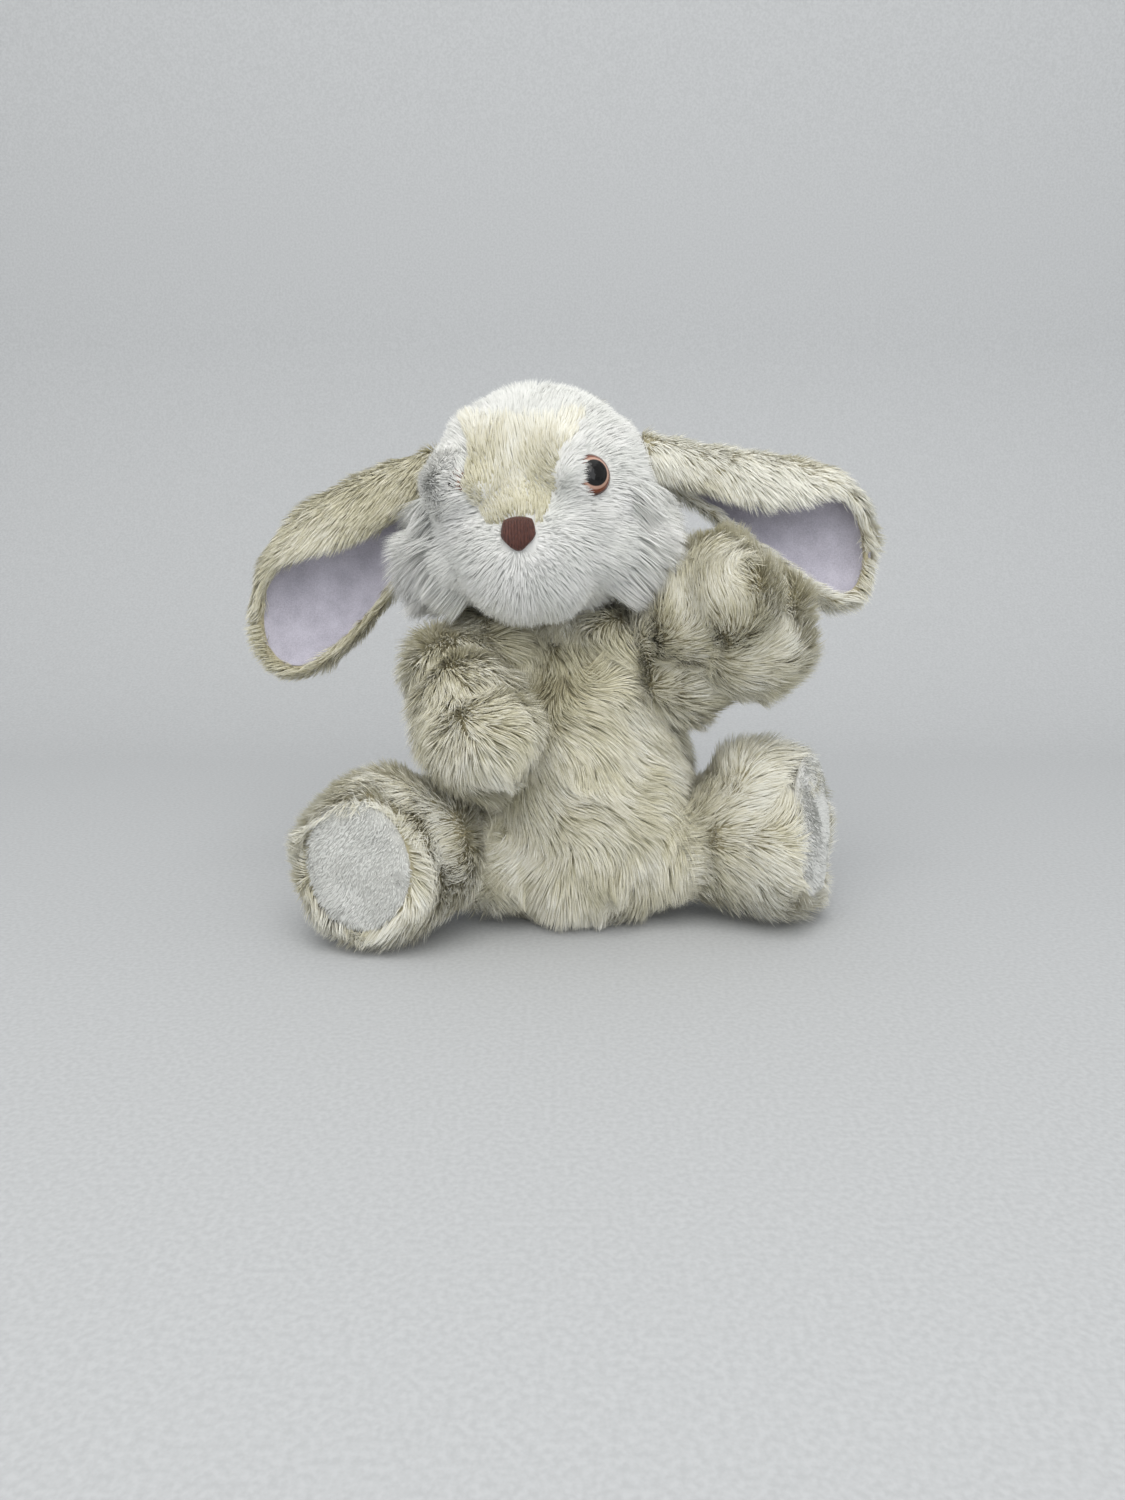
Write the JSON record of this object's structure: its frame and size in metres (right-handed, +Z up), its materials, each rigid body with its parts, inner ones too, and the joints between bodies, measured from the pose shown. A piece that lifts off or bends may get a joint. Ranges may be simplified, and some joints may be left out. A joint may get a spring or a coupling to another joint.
{
  "type": "stuffed bunny rabbit",
  "caption": "Seated plush bunny with jointed head, ears, arms and legs, long clumped pile, smooth ear linings and domed eyes.",
  "frame": {"origin": "the middle of the flat seat that the bunny sits on", "axes": "+Z up; the bunny faces -Y, so its own left side is +X; +X is the longest extent, across the ears"},
  "size_m": [0.2245, 0.1296, 0.1955],
  "materials": {
    "plush_beige": "long-pile plush, clumped",
    "plush_white": "short-pile plush",
    "ear_satin": "smooth short nap",
    "fibre_fill": "loose polyester fibre",
    "pouch_cotton": "plain woven cotton filled with pellets",
    "nose_thread": "satin stitch",
    "mouth_thread": "single thread",
    "eye_plastic": "polished, black pupil in a brown ring",
    "washer_plastic": "moulded"
  },
  "bodies": {
    "torso": {"belly_panel": "plush_beige", "left_back_panel": "plush_beige", "right_back_panel": "plush_beige", "torso_stuffing": "fibre_fill", "pellet_pouch": "pouch_cotton", "tail_cover": "plush_white", "tail_stuffing": "fibre_fill"},
    "neck": {"neck_stuffing": "fibre_fill"},
    "head": {"forehead_gusset": "plush_beige", "left_face_panel": "plush_white", "right_face_panel": "plush_white", "chin_panel": "plush_white", "head_back_panel": "plush_beige", "muzzle_cover": "plush_white", "muzzle_stuffing": "fibre_fill", "head_stuffing": "fibre_fill", "left_cheek_ruff": "plush_white", "right_cheek_ruff": "plush_white", "nose_embroidery": "nose_thread", "mouth_stitch": "mouth_thread", "left_eye": "eye_plastic", "right_eye": "eye_plastic", "left_eye_washer": "washer_plastic", "right_eye_washer": "washer_plastic"},
    "left_ear": {"left_ear_back": "plush_beige", "left_ear_lining": "ear_satin"},
    "right_ear": {"right_ear_back": "plush_beige", "right_ear_lining": "ear_satin"},
    "left_arm": {"left_arm_cover": "plush_beige", "left_arm_stuffing": "fibre_fill"},
    "right_arm": {"right_arm_cover": "plush_beige", "right_arm_stuffing": "fibre_fill"},
    "left_leg": {"left_leg_cover": "plush_beige", "left_sole_pad": "plush_white", "left_leg_stuffing": "fibre_fill"},
    "right_leg": {"right_leg_cover": "plush_beige", "right_sole_pad": "plush_white", "right_leg_stuffing": "fibre_fill"}
  },
  "joints": [
    {"name": "head_turn", "type": "hinge", "parent": "torso", "child": "neck", "pos_m": [-0.004, 0.002, 0.11], "axis": [0, 0, 1], "range_deg": [-4, 28], "stiffness_Nm_per_rad": 0.6},
    {"name": "head_nod", "type": "hinge", "parent": "neck", "child": "head", "pos_m": [-0.004, 0.002, 0.11], "axis": [1, 0, 0], "range_deg": [-10, 9], "stiffness_Nm_per_rad": 1.5},
    {"name": "left_ear_flop", "type": "hinge", "parent": "head", "child": "left_ear", "pos_m": [0.02998, 0.00072, 0.17767], "axis": [0, -1, 0], "range_deg": [-4, 50], "stiffness_Nm_per_rad": 0.08},
    {"name": "right_ear_flop", "type": "hinge", "parent": "head", "child": "right_ear", "pos_m": [-0.04707, 0.01155, 0.17223], "axis": [0, 1, 0], "range_deg": [-4, 60], "stiffness_Nm_per_rad": 0.08},
    {"name": "left_arm_swing", "type": "hinge", "parent": "torso", "child": "left_arm", "pos_m": [0.033, -0.006, 0.099], "axis": [0, 1, 0], "range_deg": [0, 25], "stiffness_Nm_per_rad": 0.2},
    {"name": "right_arm_swing", "type": "hinge", "parent": "torso", "child": "right_arm", "pos_m": [-0.044, -0.009, 0.097], "axis": [-1, 0, 0], "range_deg": [-3, 30], "stiffness_Nm_per_rad": 0.2},
    {"name": "left_leg_swing", "type": "hinge", "parent": "torso", "child": "left_leg", "pos_m": [0.046, -0.0125, 0.026], "axis": [0, 0, -1], "range_deg": [-10, 38], "stiffness_Nm_per_rad": 0.4},
    {"name": "right_leg_swing", "type": "hinge", "parent": "torso", "child": "right_leg", "pos_m": [-0.03, -0.02, 0.026], "axis": [0, 0, 1], "range_deg": [-30, 4], "stiffness_Nm_per_rad": 0.4}
  ]
}
